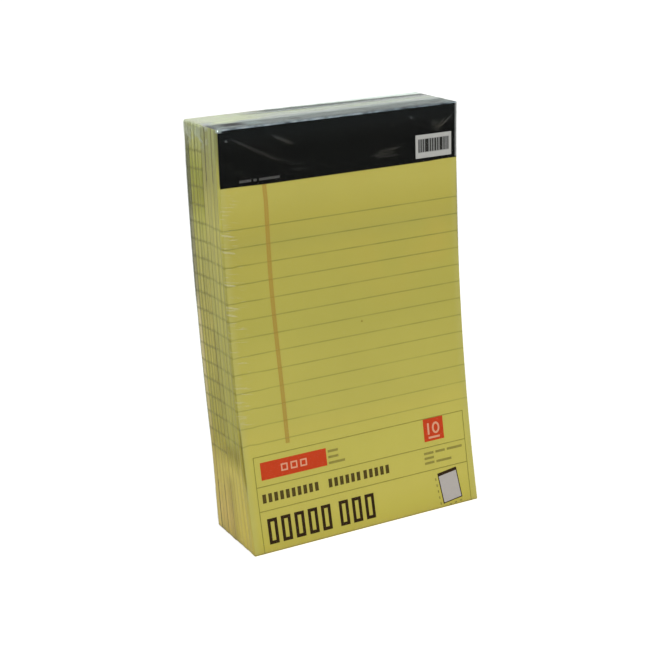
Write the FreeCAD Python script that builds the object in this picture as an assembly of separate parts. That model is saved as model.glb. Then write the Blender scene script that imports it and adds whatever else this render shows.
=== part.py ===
import FreeCAD, Part
import math
import os

# Ten ruled writing pads and one printed cover sheet, held together by clear shrink film.
# The pack stands on its short edge. The cover faces -Y, +X is to its right, +Z is up, and the
# origin is the bottom centre of the film's bounding box. All lengths are in millimetres.
# The whole stack is bent about X: every layer is the same upright arc, moved back in Y.

# Pads
sheet_width = 127.0
sheet_height = 203.2
sheet_thickness = 0.0755
sheets_per_pad = 40
board_thickness = 0.6
pads_in_pack = 10
pads_bound_end_up = 5
pad_stagger = 0.2

# Binding tape, folded over the bound end of each pad
tape_thickness = 0.12
tape_front_height = 25.4
tape_rear_height = 20.0

# Staples under the tape, two to a pad
staple_crown = 12.0
staple_wire_width = 0.5
staple_wire_thickness = 0.4
staple_foot = 4.0
staple_spacing = 64.0
staple_from_end = 9.0
staple_clearance = 0.05

# Bend of the stack: how far its middle and its top stand behind its foot
bow = 5.9
lean = 16.5

# Cover sheet, and how far each layer of its print stands proud
cover_thickness = 0.1
ink_relief = 0.08

# Print of the cover. Across is from the sheet's left edge, heights are from its foot.
header_height = 26.6
patch_left = 103.6
patch_width = 20.3
patch_height = 11.4
patch_above_header_foot = 1.2
patch_bar_widths = (0.6, 0.6, 0.6, 2.0, 0.7, 0.7, 0.9, 0.7, 1.6, 0.6, 0.4, 0.5)
patch_border = 1.6
patch_top_border = 2.2
patch_foot_border = 2.9
origin_dashes = (6.0, 1.6, 10.6)
origin_dash_left = 9.6
origin_dash_top = 2.5
rule_pitch = 8.62
first_rule_drop = 20.1
rule_width = 0.4
margin_across = 23.2
margin_line_width = 0.7
margin_line_spacing = 1.6
margin_above_label = 3.65

# Label at the foot of the cover: a frame of three rows
label_left = 4.9
label_right = 123.5
label_top = 47.05
label_upper_row = 32.35
label_lower_row = 20.5
label_line_width = 0.35
red_bar_left = 8.2
red_bar_width = 35.6
red_bar_height = 8.6
red_square_left = 99.6
red_square_side = 11.6
mark_block_count = 3
mark_block_width = 3.6
mark_block_height = 3.6
mark_block_pitch = 5.2
mark_block_stroke = 0.7
number_height = 5.9
number_stroke = 1.0
number_gap = 1.7
number_oval_width = 4.4
number_above_foot = 3.4
number_bar_width = 6.6
number_bar_height = 1.0
number_bar_above_foot = 1.25
headline_left = 8.4
headline_block_counts = (5, 3)
headline_word_gaps = (4.7,)
headline_block_height = 12.4
headline_block_width = 5.2
headline_block_pitch = 7.3
headline_stroke = 1.6
subtitle_left = 7.5
subtitle_block_counts = (10, 6, 5)
subtitle_word_gaps = (5.7, 2.0)
subtitle_block_height = 4.3
subtitle_block_width = 1.9
subtitle_block_pitch = 3.15
small_line_height = 1.2
upper_lines_drop = 4.2
upper_lines_pitch = 2.9
middle_lines_drop = 2.25
middle_lines_pitch = 2.5
small_lines_gap = 1.0
small_lines_left = 98.5
small_short_line = 5.6
small_long_line = 9.0
icon_left = 106.9
icon_foot = 1.8
icon_width = 11.5
icon_height = 16.0
icon_turn = 7.0
icon_line_width = 0.5
icon_head = 1.6
icon_tick_count = 5
icon_tick_length = 1.3
icon_tick_width = 0.7
icon_tick_pitch = 3.2
icon_tick_gap = 1.2

# Film
film_wall = 0.1
film_clearance = 0.3

# Derived sizes
block_thickness = sheets_per_pad * sheet_thickness
pad_pitch = block_thickness + board_thickness + 2 * tape_thickness
stack_depth = cover_thickness + pads_in_pack * pad_pitch
stack_foot = film_wall
half_width = sheet_width / 2
film_front = -2 * ink_relief - film_clearance
film_back = stack_depth + film_clearance
film_half_width = half_width + pad_stagger + film_clearance
film_top = stack_foot + sheet_height + tape_thickness + film_clearance
header_foot = sheet_height - header_height
first_rule_height = header_foot - first_rule_drop
rule_count = int((first_rule_height - label_top) / rule_pitch) + 1
margin_foot = label_top + margin_above_label

# Circle of the bend in the plane of Y and Z, through the front of the cover sheet
chord = math.hypot(lean, sheet_height)
sagitta = bow * sheet_height / chord
bend_radius = (chord ** 2 / 4 + sagitta ** 2) / (2 * sagitta)
bend_centre_y = lean / 2 - (bend_radius - sagitta) * sheet_height / chord
bend_centre_z = stack_foot + sheet_height / 2 + (bend_radius - sagitta) * lean / chord


def bent_y(z, depth):
    """Y of a layer's face at a height, counted from the foot of the cover sheet."""
    return bend_centre_y + math.sqrt(bend_radius ** 2 - (z - bend_centre_z) ** 2) + depth


front_reach = bent_y(0, film_front - film_wall)
back_reach = bend_centre_y + bend_radius + film_back + film_wall
centre_y = (front_reach + back_reach) / 2


def place(x, z, depth):
    """A point of the bent stack in the part's own frame."""
    return FreeCAD.Vector(x, bent_y(z, depth) - centre_y, z)


def grown(span, margin):
    """A span that reaches further by a margin at both ends."""
    return (span[0] - margin, span[1] + margin)


def layer(x_span, z_span, depth_span):
    """A bent slab between two heights and two depths of the stack."""
    left = x_span[0]
    foot, top = z_span
    front, back = depth_span
    middle = (foot + top) / 2
    edges = [
        Part.Arc(place(left, foot, front), place(left, middle, front), place(left, top, front)),
        Part.LineSegment(place(left, top, front), place(left, top, back)),
        Part.Arc(place(left, top, back), place(left, middle, back), place(left, foot, back)),
        Part.LineSegment(place(left, foot, back), place(left, foot, front)),
    ]
    outline = Part.Wire([edge.toShape() for edge in edges])
    return Part.Face(outline).extrude(FreeCAD.Vector(x_span[1] - left, 0, 0))


def end_span(number, start, end):
    """Heights between two distances from a pad's bound end, which is its top or its foot."""
    if number < pads_bound_end_up:
        top = stack_foot + sheet_height
        return (top - end, top - start)
    foot = stack_foot + tape_thickness
    return (foot + start, foot + end)


def pad_place(number):
    """Depth of a pad's front in the stack, and the pad's span across."""
    shift = pad_stagger * (number * 3 % 5 - 2) / 2
    return cover_thickness + number * pad_pitch, grown((shift, shift), half_width)


def straight_box(x_span, z_span, depth_span):
    """A straight box whose depths are counted from the bent face at its middle height."""
    corner = place(x_span[0], sum(z_span) / 2, depth_span[0])
    corner.z = z_span[0]
    sizes = [span[1] - span[0] for span in (x_span, depth_span, z_span)]
    return Part.makeBox(*sizes, corner)


def staple(number, middle, clearance):
    """One staple: a crown in the leaves, two legs, and two feet bent inwards in the board."""
    front = pad_place(number)[0]
    inside = grown((front, front + pad_pitch), -tape_thickness - staple_clearance)
    crown_depth = (inside[0], inside[0] + staple_wire_thickness)
    foot_depth = (inside[1] - staple_wire_thickness, inside[1])
    z_span = grown(end_span(number, staple_from_end, staple_from_end), staple_wire_width / 2)
    spans = [(grown((middle, middle), staple_crown / 2), crown_depth)]
    for side in (-1, 1):
        outer = middle + side * staple_crown / 2
        leg = sorted((outer, outer - side * staple_wire_thickness))
        foot = sorted((outer, outer - side * staple_foot))
        spans += [(leg, inside), (foot, foot_depth)]
    high = grown(z_span, clearance)
    boxes = [
        straight_box(grown(x_span, clearance), high, grown(depth, 2 * clearance))
        for x_span, depth in spans
    ]
    return boxes[0].multiFuse(boxes[1:]).removeSplitter()


def pad_staples(number, clearance=0.0):
    """Both staples of a pad, or with a clearance the slots that they sit in."""
    across = pad_place(number)[1]
    middle = sum(across) / 2
    places = [middle - staple_spacing / 2, middle + staple_spacing / 2]
    return [staple(number, place_across, clearance) for place_across in places]


def pad_slab(number, depth_span):
    """A full-size layer of a pad, with the slots for its staples."""
    across = pad_place(number)[1]
    slab = layer(across, end_span(number, 0, sheet_height), depth_span)
    return slab.cut(Part.makeCompound(pad_staples(number, staple_clearance)))


def pad_sheets(number):
    """All leaves of one pad as one block."""
    front = pad_place(number)[0] + tape_thickness
    return pad_slab(number, (front, front + block_thickness))


def pad_board(number):
    """Chipboard behind the leaves."""
    back = pad_place(number)[0] + pad_pitch - tape_thickness
    return pad_slab(number, (back - board_thickness, back))


def pad_binding(number):
    """Tape folded over the bound end, with a shorter flap on the board."""
    front, across = pad_place(number)
    back = front + pad_pitch
    wrapped = layer(across, end_span(number, -tape_thickness, tape_front_height), (front, back))
    inside = grown((front, back), -tape_thickness)
    wide = grown(across, 1)
    pad_room = layer(wide, end_span(number, 0, tape_front_height + 1), inside)
    past_flap = end_span(number, tape_rear_height, tape_front_height + 1)
    flap_end = layer(wide, past_flap, (inside[1] - tape_thickness, back + tape_thickness))
    return wrapped.cut(Part.makeCompound([pad_room, flap_end]))


def cover_sheet():
    """Printed sheet in front of the first pad."""
    across = (-half_width, half_width)
    return layer(across, (stack_foot, stack_foot + sheet_height), (0, cover_thickness))


def print_depth(level):
    """Depths of a printed field: level 1 lies on the sheet, level 2 on a field of level 1."""
    return (-level * ink_relief, (1 - level) * ink_relief)


def field(left, foot, width, height, level=1):
    """A printed rectangle on the cover sheet."""
    x_span = (left - half_width, left - half_width + width)
    z_span = (stack_foot + foot, stack_foot + foot + height)
    return layer(x_span, z_span, print_depth(level))


def rectangle(left, foot, width, height):
    """Corners of a rectangle on the cover sheet."""
    right = left + width
    top = foot + height
    return [(left, foot), (right, foot), (right, top), (left, top)]


def outline(corners):
    """A closed outline in the cover sheet's plane."""
    points = [FreeCAD.Vector(x - half_width, 0, stack_foot + z) for x, z in corners]
    return Part.makePolygon(points + points[:1])


def oval(middle_across, middle_height, width, height):
    """An upright oval outline in the cover sheet's plane."""
    centre = FreeCAD.Vector(middle_across - half_width, 0, stack_foot + middle_height)
    tip = centre + FreeCAD.Vector(0, 0, height / 2)
    side = centre + FreeCAD.Vector(width / 2, 0, 0)
    return Part.Wire([Part.Ellipse(tip, side, centre).toShape()])


def stamp(outer, windows=(), level=1):
    """A printed shape with any outline, less the windows in it."""
    box = outer.BoundBox
    slab = layer((box.XMin, box.XMax), (box.ZMin, box.ZMax), print_depth(level))
    reach = FreeCAD.Vector(0, slab.BoundBox.YLength + 2, 0)
    start = FreeCAD.Vector(0, slab.BoundBox.YMin - 1, 0)
    bars = [Part.Face(wire).extrude(reach) for wire in (outer, *windows)]
    for bar in bars:
        bar.translate(start)
    shape = slab.common(bars[0])
    return shape.cut(Part.makeCompound(bars[1:])) if windows else shape


def block_lefts(left, width, pitch, counts, word_gaps):
    """Left edges of the blocks of a line of words, with a gap after each word but the last."""
    lefts = []
    for count, gap in zip(counts, (*word_gaps, 0)):
        lefts += [left + i * pitch for i in range(count)]
        left = lefts[-1] + width + gap
    return lefts


def dash_lines(left, top, lines, pitch=0.0, level=1):
    """Short printed dashes, one list of lengths for each line."""
    dashes = []
    for row, lengths in enumerate(lines):
        across = left
        for length in lengths:
            foot = top - row * pitch - small_line_height
            dashes.append(field(across, foot, length, small_line_height, level))
            across += length + small_line_height
    return dashes


def turned(points):
    """Points turned about the icon's lower left corner."""
    turn = math.radians(icon_turn)
    return [
        (icon_left + x * math.cos(turn) - z * math.sin(turn),
         icon_foot + x * math.sin(turn) + z * math.cos(turn))
        for x, z in points
    ]


def open_box(left, foot, width, height, stroke, level=1):
    """A printed rectangle with its middle left out."""
    window = rectangle(left + stroke, foot + stroke, width - 2 * stroke, height - 2 * stroke)
    return stamp(outline(rectangle(left, foot, width, height)), [outline(window)], level=level)


def header_print():
    """Black band over the top of the cover, from edge to edge."""
    return [field(0, header_foot, sheet_width, header_height)]


def header_white_print():
    """White patch with plain bars left out of it, and a line of small dashes."""
    foot = header_foot + patch_above_header_foot
    patch = outline(rectangle(patch_left, foot, patch_width, patch_height))
    free_width = patch_width - 2 * patch_border - sum(patch_bar_widths)
    gap = free_width / (len(patch_bar_widths) - 1)
    bar_height = patch_height - patch_top_border - patch_foot_border
    bars = []
    across = patch_left + patch_border
    for width in patch_bar_widths:
        bars.append(outline(rectangle(across, foot + patch_foot_border, width, bar_height)))
        across += width + gap
    dashes = dash_lines(origin_dash_left, header_foot + origin_dash_top, (origin_dashes,), level=2)
    return [stamp(patch, bars, level=2)] + dashes


def ruling_print():
    """Evenly spaced rules over the whole width, which leave out the margin lines."""
    feet = [first_rule_height - i * rule_pitch - rule_width / 2 for i in range(rule_count)]
    margin = Part.makeCompound(margin_print())
    rules = [field(0, foot, sheet_width, rule_width).cut(margin) for foot in feet]
    return [piece for rule in rules for piece in rule.Solids]


def margin_print():
    """Double upright line from the header down to the label."""
    start = margin_across - (margin_line_spacing + margin_line_width) / 2
    lefts = (start, start + margin_line_spacing)
    return [field(left, margin_foot, margin_line_width, header_foot - margin_foot) for left in lefts]


def label_frame_print():
    """Thin lines round and between the label's three rows, open at the foot."""
    inside_width = label_right - label_left - 2 * label_line_width
    left = label_left + label_line_width
    lines = (-label_line_width, label_lower_row, label_upper_row, label_top)
    outer = outline(rectangle(label_left, 0, label_right - label_left, label_top))
    windows = [
        outline(rectangle(left, foot, inside_width, top - foot - label_line_width))
        for foot, top in zip(lines, lines[1:])
    ]
    return [stamp(outer, windows)]


def middle_of_row(foot, top, height):
    """Foot of a thing of some height that stands midway between two lines of the label."""
    return (foot + top - label_line_width - height) / 2


def red_square_foot():
    """The red square hangs from the label's top line."""
    return label_top - label_line_width - red_square_side


def label_red_print():
    """Red bar on the left of the upper row and red square on its right."""
    bar_foot = middle_of_row(label_upper_row, label_top, red_bar_height)
    bar = field(red_bar_left, bar_foot, red_bar_width, red_bar_height)
    return [bar, field(red_square_left, red_square_foot(), red_square_side, red_square_side)]


def label_white_print():
    """Open boxes on the red bar, and the number of pads over a bar on the red square."""
    foot = middle_of_row(label_upper_row, label_top, mark_block_height)
    row_width = (mark_block_count - 1) * mark_block_pitch + mark_block_width
    left = red_bar_left + (red_bar_width - row_width) / 2
    blocks = [
        open_box(
            left + i * mark_block_pitch, foot, mark_block_width, mark_block_height,
            mark_block_stroke, level=2
        )
        for i in range(mark_block_count)
    ]
    number_width = number_stroke + number_gap + number_oval_width
    number_left = red_square_left + (red_square_side - number_width) / 2
    number_foot = red_square_foot() + number_above_foot
    one = field(number_left, number_foot, number_stroke, number_height, level=2)
    middle_across = number_left + number_width - number_oval_width / 2
    middle_height = number_foot + number_height / 2
    outer = oval(middle_across, middle_height, number_oval_width, number_height)
    inner_size = (number_oval_width - 2 * number_stroke, number_height - 2 * number_stroke)
    inner = oval(middle_across, middle_height, *inner_size)
    bar_left = red_square_left + (red_square_side - number_bar_width) / 2
    bar_foot = red_square_foot() + number_bar_above_foot
    bar = field(bar_left, bar_foot, number_bar_width, number_bar_height, level=2)
    return blocks + [one, stamp(outer, [inner], level=2), bar]


def subtitle_blocks():
    """Plain upright blocks in the middle row."""
    foot = middle_of_row(label_lower_row, label_upper_row, subtitle_block_height)
    lefts = block_lefts(
        subtitle_left, subtitle_block_width, subtitle_block_pitch,
        subtitle_block_counts, subtitle_word_gaps
    )
    return [field(left, foot, subtitle_block_width, subtitle_block_height) for left in lefts]


def headline_boxes():
    """Open boxes in the lower row, larger than the blocks above them."""
    foot = middle_of_row(0, label_lower_row, headline_block_height)
    lefts = block_lefts(
        headline_left, headline_block_width, headline_block_pitch,
        headline_block_counts, headline_word_gaps
    )
    size = (headline_block_width, headline_block_height, headline_stroke)
    return [open_box(left, foot, *size) for left in lefts]


def label_dark_print():
    """Blocks and boxes of the two lower rows, and the outline of the pad icon."""
    return subtitle_blocks() + headline_boxes() + [stamp(icon_outline(), [icon_face()])]


def icon_outline():
    return outline(turned(rectangle(0, 0, icon_width, icon_height)))


def icon_face():
    """Bare part of the pad icon, below its dark head."""
    face_width = icon_width - 2 * icon_line_width
    face_height = icon_height - icon_line_width - icon_head
    return outline(turned(rectangle(icon_line_width, icon_line_width, face_width, face_height)))


def icon_ticks():
    """Short ticks along the icon's left edge and along most of its lower edge."""
    ticks = []
    for i in range(icon_tick_count):
        along = i * icon_tick_pitch
        outside = -icon_tick_gap - icon_tick_width
        ticks.append(rectangle(outside, along, icon_tick_width, icon_tick_length))
        if 0 < along < icon_width - icon_tick_length:
            ticks.append(rectangle(along, outside, icon_tick_length, icon_tick_width))
    return [stamp(outline(turned(tick))) for tick in ticks]


def label_grey_print():
    """Face of the pad icon."""
    return [stamp(icon_face())]


def label_small_print():
    """Short dashes beside the red bar and in the middle row, and the icon's ticks."""
    upper_top = label_top - label_line_width - upper_lines_drop
    middle_top = label_upper_row - label_line_width - middle_lines_drop
    upper_left = red_bar_left + red_bar_width + small_lines_gap
    short = (small_short_line,)
    long = (small_long_line,)
    upper = dash_lines(upper_left, upper_top, (short, short, long), upper_lines_pitch)
    rows = (short + short + long, short, short + long)
    middle = dash_lines(small_lines_left, middle_top, rows, middle_lines_pitch)
    return upper + middle + icon_ticks()


def film_body(growth):
    """The room inside the film, grown on all sides."""
    across = grown((0, 0), film_half_width + growth)
    return layer(across, grown((stack_foot, film_top), growth), grown((film_front, film_back), growth))


def shrink_film():
    """Closed skin of film, folded crisply over the edges of the stack that stands on it."""
    return film_body(film_wall).cut(film_body(0))


def write(node, solids):
    """Write one node's solids to its own file."""
    shape = solids[0] if len(solids) == 1 else Part.makeCompound(solids)
    shape.exportStep("parts/" + node + ".step")


os.makedirs("parts", exist_ok=True)
for number in range(pads_in_pack):
    name = "pad_%02d_" % (number + 1)
    write(name + "sheets", [pad_sheets(number)])
    write(name + "board", [pad_board(number)])
    write(name + "binding", [pad_binding(number)])
write("staples", [wire for number in range(pads_in_pack) for wire in pad_staples(number)])
write("cover_sheet", [cover_sheet()])
write("header_print", header_print())
write("header_white_print", header_white_print())
write("ruling_print", ruling_print())
write("margin_print", margin_print())
write("label_frame_print", label_frame_print())
write("label_red_print", label_red_print())
write("label_white_print", label_white_print())
write("label_dark_print", label_dark_print())
write("label_grey_print", label_grey_print())
write("label_small_print", label_small_print())
write("shrink_film", [shrink_film()])
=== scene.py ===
import math
import random

import bpy
from mathutils import Matrix, Vector, noise


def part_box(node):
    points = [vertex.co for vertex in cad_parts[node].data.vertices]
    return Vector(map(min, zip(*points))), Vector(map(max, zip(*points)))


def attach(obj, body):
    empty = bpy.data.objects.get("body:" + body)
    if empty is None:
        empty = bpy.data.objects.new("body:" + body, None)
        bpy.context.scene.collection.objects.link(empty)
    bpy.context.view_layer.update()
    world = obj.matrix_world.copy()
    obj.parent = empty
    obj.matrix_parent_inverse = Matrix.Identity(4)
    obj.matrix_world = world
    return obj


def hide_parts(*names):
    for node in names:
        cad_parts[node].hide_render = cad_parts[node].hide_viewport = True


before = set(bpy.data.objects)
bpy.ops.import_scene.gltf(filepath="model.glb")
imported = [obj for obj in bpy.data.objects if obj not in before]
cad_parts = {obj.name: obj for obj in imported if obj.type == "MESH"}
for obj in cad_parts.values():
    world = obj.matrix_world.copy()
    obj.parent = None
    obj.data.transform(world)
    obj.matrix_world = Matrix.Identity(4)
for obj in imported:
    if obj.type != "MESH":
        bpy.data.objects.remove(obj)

# A shrink-wrapped pack of ten ruled writing pads that stands on its short edge.
# All sizes are in metres, in the frame that the CAD part shares. "Flat" places are those of the
# stack before its bend: X across the sheets, Y the depth behind the cover's front, Z the height.

mm = 0.001
x_axis, y_axis, z_axis = 0, 1, 2
nearly_one = 0.9999
nearly_zero = 1e-6
rounding = 1e-7

sheet_width = 127.0 * mm
sheet_height = 203.2 * mm
half_width = sheet_width / 2
leaf_thickness = 0.0755 * mm
leaves_per_pad = 40
leaf_play = 0.07 * mm
leaf_shortfall = 0.12 * mm
riffle_seed = 40
board_thickness = 0.6 * mm
board_corner = 0.08 * mm
pad_count = 10
pads_bound_end_up = 5
pad_stagger = 0.2 * mm
tape_thickness = 0.12 * mm
tape_corner = 0.22 * mm
tape_front_height = 25.4 * mm
tape_rear_height = 20.0 * mm
cover_thickness = 0.1 * mm
stack_foot = 0.1 * mm
bow = 5.9 * mm
lean = 16.5 * mm
foot_swell = 0.13
swell_top = 46 * mm
swell_full = -14 * mm
header_foot = sheet_height - 26.6 * mm
first_rule_height = header_foot - 20.1 * mm
rule_pitch = 8.62 * mm
rule_count = 13

block_thickness = leaves_per_pad * leaf_thickness
pad_pitch = block_thickness + board_thickness + 2 * tape_thickness
stack_depth = cover_thickness + pad_count * pad_pitch

film_gap = 0.3 * mm
film_wall = 0.1 * mm
film_skin = 0.06 * mm
film_corner = 1.3 * mm
flat_foot = 0.6 * mm
ink_relief = 0.08 * mm
film_front = -2 * ink_relief - film_gap - film_wall
film_back = stack_depth + film_gap + film_wall
film_half_width = half_width + pad_stagger + film_gap + film_wall
film_top = stack_foot + sheet_height + tape_thickness + film_gap + film_wall

# How often the long edges of each piece are cut, so that it follows the bend.
leaf_cuts = 13
tape_cuts = 4
board_cuts_across, board_cuts_up = 23, 47
cover_cuts = 63
film_cuts = (71, 21, 109)

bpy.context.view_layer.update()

# ---------------- the stack's bend

chord = math.hypot(lean, sheet_height)
sagitta = bow * sheet_height / chord
bend_radius = (chord ** 2 / 4 + sagitta ** 2) / (2 * sagitta)
bend_centre_y = lean / 2 - (bend_radius - sagitta) * sheet_height / chord
bend_centre_z = stack_foot + sheet_height / 2 + (bend_radius - sagitta) * lean / chord
cover_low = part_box("cover_sheet")[0]


def bend_at(height):
    """How far a flat layer stands back at a height."""
    return bend_centre_y + math.sqrt(bend_radius ** 2 - (height - bend_centre_z) ** 2)


stack_front = cover_low.y - bend_at(stack_foot)


def fade(value, none_at, full_at):
    """0 to 1 between two values, smoothly."""
    share = min(max((value - none_at) / (full_at - none_at), 0.0), 1.0)
    return share * share * (3 - 2 * share)


def swell_at(height):
    """How much deeper the stack is near its foot, where five taped ends lie together."""
    return foot_swell * fade(height, swell_top, swell_full)


def bend_with_stack(piece):
    """Keeps each point's flat place for the materials, then sets the point back by the bend."""
    flat = piece.data.attributes.new("flat_place", "FLOAT_VECTOR", "POINT")
    for point, place in zip(piece.data.vertices, flat.data):
        place.vector = point.co
        behind_cover = max(point.co.y - cover_thickness, 0.0)
        point.co.y += stack_front + bend_at(point.co.z) + behind_cover * swell_at(point.co.z)
    piece.data.update()


# ---------------- making pieces

def finish_piece(piece, name, finish, replaced):
    """Names a piece, gives it its material and hangs it on the pack."""
    piece.name = name
    piece.data.name = name
    piece.data.materials.clear()
    piece.data.materials.append(finish)
    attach(piece, "root")
    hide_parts(*replaced)


def block(low, high):
    """A box between two corners."""
    bpy.ops.object.select_all(action="DESELECT")
    size = [top - foot for foot, top in zip(low, high)]
    middle = [(top + foot) / 2 for foot, top in zip(low, high)]
    bpy.ops.mesh.primitive_cube_add(size=1, location=middle, scale=size)
    bpy.ops.object.transform_apply(location=True, rotation=True, scale=True)
    return bpy.context.object


def pick_edges(piece, wanted):
    """Enters edit mode with the edges selected whose two ends are wanted."""
    bpy.ops.object.mode_set(mode="EDIT")
    bpy.ops.mesh.select_mode(type="EDGE")
    bpy.ops.mesh.select_all(action="DESELECT")
    bpy.ops.object.mode_set(mode="OBJECT")
    points = piece.data.vertices
    for edge in piece.data.edges:
        start, end = (points[i].co for i in edge.vertices)
        edge.select = wanted(start, end)
    bpy.ops.object.mode_set(mode="EDIT")


def divide_along(piece, axis, cuts):
    """Divides every edge that runs along one axis, so the piece can follow the bend."""
    def runs_along(start, end):
        return abs((end - start).normalized()[axis]) > nearly_one
    pick_edges(piece, runs_along)
    bpy.ops.mesh.subdivide(number_cuts=cuts)
    bpy.ops.object.mode_set(mode="OBJECT")


def apply_modifier(piece, kind, **settings):
    """Adds a modifier to the active piece and applies it."""
    modifier = piece.modifiers.new(kind.title(), kind)
    for name, value in settings.items():
        setattr(modifier, name, value)
    bpy.ops.object.modifier_apply(modifier=modifier.name)


def own_copy(piece):
    """A copy with its own mesh."""
    copy = piece.copy()
    copy.data = piece.data.copy()
    bpy.context.scene.collection.objects.link(copy)
    return copy


# ---------------- material helpers

def srgb(red, green, blue):
    """A colour as written on a paint chart, as the linear values that nodes take."""
    def linear(value):
        share = value / 255
        return share / 12.92 if share <= 0.04045 else ((share + 0.055) / 1.055) ** 2.4
    return (linear(red), linear(green), linear(blue), 1)


def feed(socket, value):
    """Links an output to a socket, or sets the socket's own value."""
    if isinstance(value, bpy.types.NodeSocket):
        socket.id_data.links.new(value, socket)
    else:
        socket.default_value = value


def tree_of(values):
    """The node tree that the first output among some values is in."""
    return next(value.id_data for value in values if isinstance(value, bpy.types.NodeSocket))


def add_node(tree, kind, inputs=None, **settings):
    """A new node with its settings made and its inputs fed."""
    node = tree.nodes.new(kind)
    for name, value in settings.items():
        setattr(node, name, value)
    for socket, value in (inputs or {}).items():
        feed(node.inputs[socket], value)
    return node


def calc(operation, *values, use_clamp=False):
    """The result of one sum on values or outputs."""
    inputs = dict(enumerate(values))
    settings = {"operation": operation, "use_clamp": use_clamp}
    return add_node(tree_of(values), "ShaderNodeMath", inputs, **settings).outputs[0]


def ease(value, none_at, full_at, low=0.0, high=1.0):
    """Rises smoothly from low to high between two values."""
    ends = {"Value": value, "From Min": none_at, "From Max": full_at, "To Min": low, "To Max": high}
    return add_node(value.id_data, "ShaderNodeMapRange", ends, interpolation_type="SMOOTHSTEP").outputs[0]


def between(value, low, high, soft):
    """A mask that is full between two values, with soft ends."""
    rise = ease(value, low - soft, low + soft)
    fall = ease(value, high - soft, high + soft, 1.0, 0.0)
    return calc("MULTIPLY", rise, fall)


def product(*masks):
    """Several masks or values multiplied together."""
    result = masks[0]
    for mask in masks[1:]:
        result = calc("MULTIPLY", result, mask)
    return result


def region(parts, **spans):
    """A mask from spans in millimetres across, in depth and in height.

    It rises over a span of two numbers. A third number is how soft the ends of a full span are.
    """
    masks = []
    for way, part in zip(("across", "depth", "height"), parts):
        if way in spans:
            span = [value * mm for value in spans[way]]
            masks.append(between(part, *span) if len(span) == 3 else ease(part, *span))
    return product(*masks)


def add_scaled(value, factor, added):
    """A value times a factor, with another value added."""
    return calc("MULTIPLY_ADD", value, factor, added)


def mixed(first, first_share, second, second_share):
    """The sum of shares of two values."""
    return add_scaled(first, first_share, product(second, second_share))


def gap(first, second):
    """How far apart two values are."""
    return calc("ABSOLUTE", calc("SUBTRACT", first, second))


def blend_colours(share, first, second, blend_type="MIX"):
    """The first colour with a share of the second laid over it."""
    tree = tree_of((share, first, second))
    ends = {0: share, 6: first, 7: second}
    return add_node(tree, "ShaderNodeMix", ends, data_type="RGBA", blend_type=blend_type).outputs[2]


def paint(mask, base, colour):
    """A chart colour laid over another colour where a mask says."""
    return blend_colours(mask, base, srgb(*colour))


def scaled(vector, across, depth, height):
    """A vector with its three parts scaled, which stretches the pattern that reads it."""
    stretch = {0: vector, 1: (across, depth, height)}
    return add_node(vector.id_data, "ShaderNodeVectorMath", stretch, operation="MULTIPLY").outputs[0]


def cloud(vector, scale, detail=3.0, roughness=0.55, distortion=0.0):
    """Noise from 0 to 1 about a middle of a half."""
    inputs = {
        "Vector": vector, "Scale": scale, "Detail": detail, "Roughness": roughness,
        "Distortion": distortion,
    }
    return add_node(vector.id_data, "ShaderNodeTexNoise", inputs).outputs[0]


def new_finish(name):
    """An empty material, with its tree and its Principled shader."""
    finish = bpy.data.materials.new(name)
    finish.use_nodes = True
    tree = finish.node_tree
    shader = next(node for node in tree.nodes if node.type == "BSDF_PRINCIPLED")
    return finish, tree, shader


def object_place(tree):
    """Where a point is in its piece's own space."""
    return add_node(tree, "ShaderNodeTexCoord").outputs["Object"]


def flat_place(tree):
    """Where a point was before the stack's bend."""
    return add_node(tree, "ShaderNodeAttribute", attribute_name="flat_place").outputs["Vector"]


def split(vector):
    """The three parts of a vector."""
    return add_node(vector.id_data, "ShaderNodeSeparateXYZ", {0: vector}).outputs


def new_group(name, inputs, outputs):
    """An empty node group with float or vector inputs and float outputs."""
    group = bpy.data.node_groups.new(name, "ShaderNodeTree")
    for socket_name, value in inputs:
        kind = "NodeSocketVector" if value is None else "NodeSocketFloat"
        socket = group.interface.new_socket(name=socket_name, in_out="INPUT", socket_type=kind)
        if value is not None:
            socket.default_value = value
    for socket_name in outputs:
        group.interface.new_socket(name=socket_name, in_out="OUTPUT", socket_type="NodeSocketFloat")
    return group, group.nodes.new("NodeGroupInput").outputs, group.nodes.new("NodeGroupOutput").inputs


def use_group(group, inputs):
    """The outputs of a node group that is fed with the inputs."""
    return add_node(tree_of(inputs.values()), "ShaderNodeGroup", inputs, node_tree=group).outputs


def add_bump(shader, height, distance, strength):
    """Gives a surface its relief and hands back the normal."""
    relief = {"Height": height, "Distance": distance, "Strength": strength}
    normal = add_node(shader.id_data, "ShaderNodeBump", relief).outputs[0]
    feed(shader.inputs["Normal"], normal)
    return normal


def coat(shader, colour, tone, smooth, rough, shine=0.1):
    """Gives a surface its colour, its shine, and a roughness that follows a tone from 0 to 1."""
    feed(shader.inputs["Base Color"], colour)
    feed(shader.inputs["Roughness"], ease(tone, 0.3, 0.7, smooth, rough))
    shader.inputs["Specular IOR Level"].default_value = shine


# ---------------- shared effects

def make_paper_fibre():
    """Cloudy formation and short fibres of uncoated paper and board."""
    inputs = [("Place", None), ("Coarseness", 1.0)]
    group, given, result = new_group("paper_fibre", inputs, ["Tone", "Height"])
    place = add_node(group, "ShaderNodeVectorMath", {0: given["Place"]}, operation="SCALE")
    feed(place.inputs["Scale"], calc("DIVIDE", 1.0, given["Coarseness"]))
    place = place.outputs[0]
    formation = cloud(place, 110.0, 4.0, 0.6)
    fibres = cloud(scaled(place, 1.0, 1.0, 0.25), 2600.0, 2.0, 0.5, 0.6)
    feed(result["Tone"], mixed(fibres, 0.35, formation, 0.65))
    feed(result["Height"], fibres)
    return group


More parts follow.
